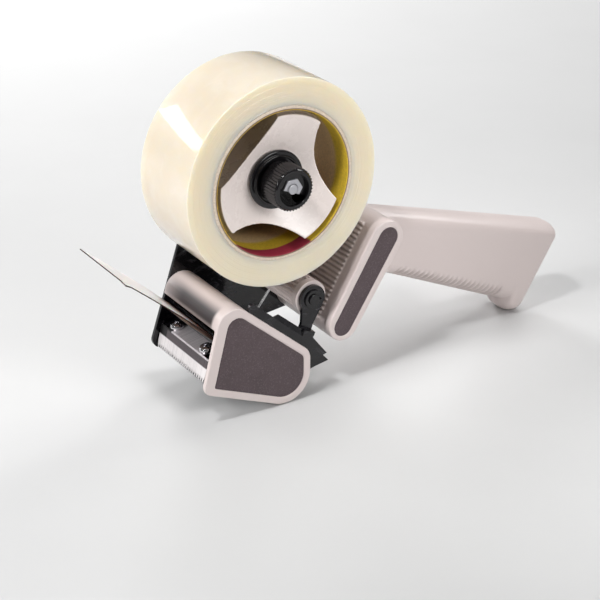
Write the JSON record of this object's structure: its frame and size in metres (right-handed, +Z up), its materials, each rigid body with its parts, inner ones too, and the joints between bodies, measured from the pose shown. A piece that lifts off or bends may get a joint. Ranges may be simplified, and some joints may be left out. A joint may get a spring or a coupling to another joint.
{
  "type": "handheld tape dispenser",
  "caption": "Handheld box-sealing tape dispenser with a pistol grip, braked three-lobed hub with a film roll, guide and press rollers, toothed cutter and a flexible wiper flap.",
  "frame": {"origin": "On the floor under the middle of the bounding box, as the dispenser is put down on its press roller and the hook of its grip.", "axes": "+X runs back to the grip, +Y across the tape away from the loading side, +Z up."},
  "size_m": [0.2852, 0.0614, 0.1763],
  "materials": {
    "beige_plastic": "warm light-grey moulding with a soft sheen",
    "dark_panel": "purple-grey speckled grained inlay",
    "black_steel": "gloss black enamel",
    "black_plastic": "black moulding",
    "blade_steel": "brushed bright steel",
    "bright_screw": "bright plated steel",
    "flap_sheet": "clear flexible sheet, brown at its edges",
    "leaf_rubber": "brown rubber",
    "black_rubber": "black rubber",
    "bronze": "sintered bronze",
    "felt": "felt",
    "card": "spiral-wound card",
    "film": "wound clear film, pale amber in the mass"
  },
  "bodies": {
    "frame": {"far_side_plate": "black_steel", "near_side_plate": "black_steel", "handle": "beige_plastic", "neck_inset": "dark_panel", "head_cover": "beige_plastic", "cheek_inset": "dark_panel", "blade_holder": "black_plastic", "cutter_blade": "blade_steel", "blade_screws": "bright_screw", "wiper_clamp": "black_plastic", "guide_axle": "blade_steel", "axle_clip": "black_steel", "roller_axle": "blade_steel", "tie_rods": "black_steel", "cover_screws": "bright_screw", "frame_screws": "bright_screw", "spindle": "blade_steel", "brake_flange": "black_plastic"},
    "hub": {"hub": "beige_plastic", "hub_bush": "bronze", "friction_ring": "felt"},
    "roll": {"tape_core": "card", "tape_roll": "film"},
    "brake_spring": {"brake_spring": "blade_steel"},
    "brake_knob": {"brake_knob": "black_plastic", "brake_nut": "bright_screw"},
    "guide_roller": {"guide_roller": "beige_plastic"},
    "press_roller": {"press_roller": "black_plastic", "roller_sleeve": "black_rubber"},
    "wiper": {"wiper_flap": "flap_sheet", "wiper_leaf": "leaf_rubber"}
  },
  "joints": [
    {"name": "hub_spin", "type": "hinge", "parent": "frame", "child": "hub", "pos_m": [-0.05176, 0.0033, 0.1213], "axis": [0, 1, 0], "continuous": true},
    {"name": "roll_load", "type": "slide", "parent": "hub", "child": "roll", "axis": [0, -1, 0], "range_m": [0, 0.06]},
    {"name": "brake_travel", "type": "slide", "parent": "frame", "child": "brake_spring", "axis": [0, -1, 0], "range_m": [-0.001, 0.002], "deforming": ["brake_spring"]},
    {"name": "brake_turn", "type": "hinge", "parent": "brake_spring", "child": "brake_knob", "pos_m": [-0.05176, 0.0033, 0.1213], "axis": [0, -1, 0], "range_deg": [-365, 730]},
    {"name": "guide_spin", "type": "hinge", "parent": "frame", "child": "guide_roller", "pos_m": [-0.03395, 0.0033, 0.05294], "axis": [0, 1, 0], "continuous": true},
    {"name": "press_spin", "type": "hinge", "parent": "frame", "child": "press_roller", "pos_m": [-0.05526, 0.0033, 0.016], "axis": [0, 1, 0], "continuous": true},
    {"name": "wiper_flex", "type": "hinge", "parent": "frame", "child": "wiper", "pos_m": [-0.09021, 0.0033, 0.04309], "axis": [0, 1, 0], "range_deg": [-8, 12], "stiffness_Nm_per_rad": 0.1}
  ],
  "couplings": [
    {"joint": "brake_turn", "follows": "brake_travel", "rad_per_m": 6283.2}
  ]
}
